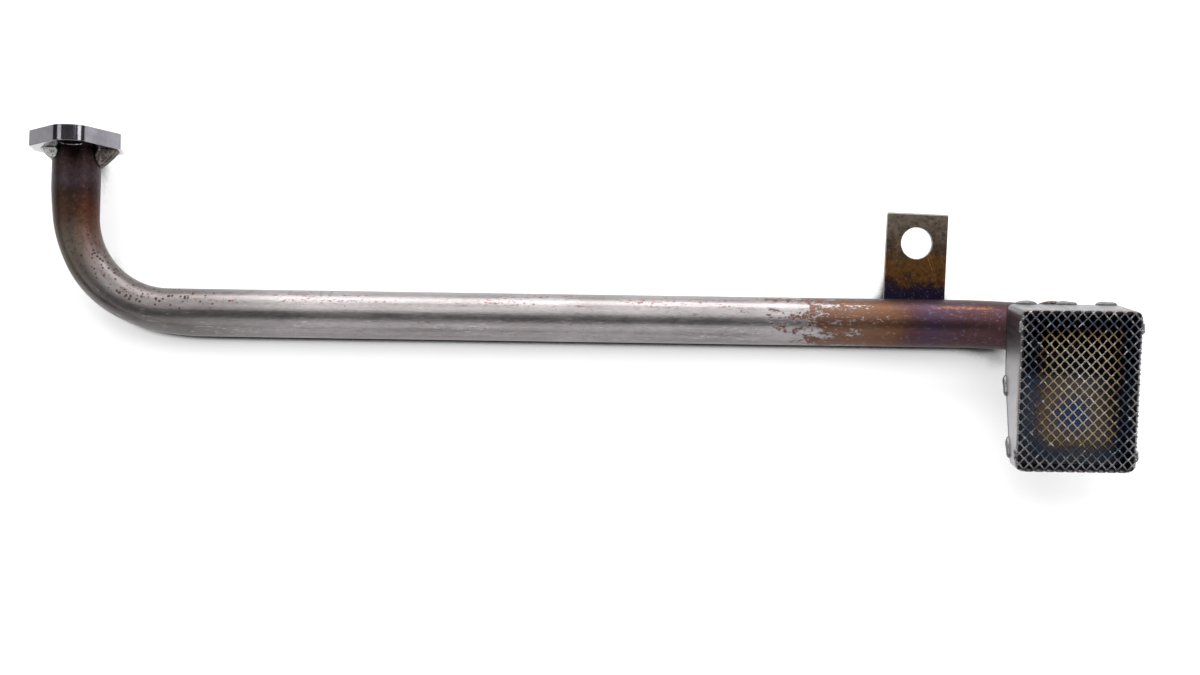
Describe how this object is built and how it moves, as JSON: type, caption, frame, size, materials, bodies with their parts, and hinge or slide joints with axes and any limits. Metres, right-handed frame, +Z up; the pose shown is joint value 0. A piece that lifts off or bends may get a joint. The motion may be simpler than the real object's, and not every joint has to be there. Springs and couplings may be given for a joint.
{
  "type": "oil pickup tube",
  "caption": "Bent steel suction tube with a bolted pump flange, a drilled support tab and a wedge-shaped strainer box behind an expanded-metal screen.",
  "frame": {"origin": "middle of the tube's mouth on the outer face of the pump flange, midway between the two bolt holes", "axes": "+X along the straight run towards the strainer, +Y towards the flange side, +Z up from the table that the part rests on"},
  "size_m": [0.4329, 0.1401, 0.0553],
  "materials": {
    "flange_steel": "bright plate, machined and polished edge",
    "tube_steel": "bare drawn steel with heat tint and light rust by the welds",
    "tab_steel": "bare steel plate, bronze and blue heat tint",
    "box_steel": "bare cold-rolled sheet, heat-tinted seams",
    "screen_steel": "expanded steel sheet, blue and straw heat tint",
    "weld_metal": "bare weld metal",
    "burnt_weld": "weld metal with dark heat scale"
  },
  "bodies": {
    "root": {"pump_flange": "flange_steel", "suction_tube": "tube_steel", "mounting_tab": "tab_steel", "strainer_band": "box_steel", "strainer_back": "box_steel", "screen": "screen_steel", "flange_weld_left": "weld_metal", "flange_weld_right": "weld_metal", "tab_weld": "burnt_weld", "collar_weld": "burnt_weld", "stitch_welds": "weld_metal", "screen_tacks": "weld_metal"}
  },
  "joints": []
}
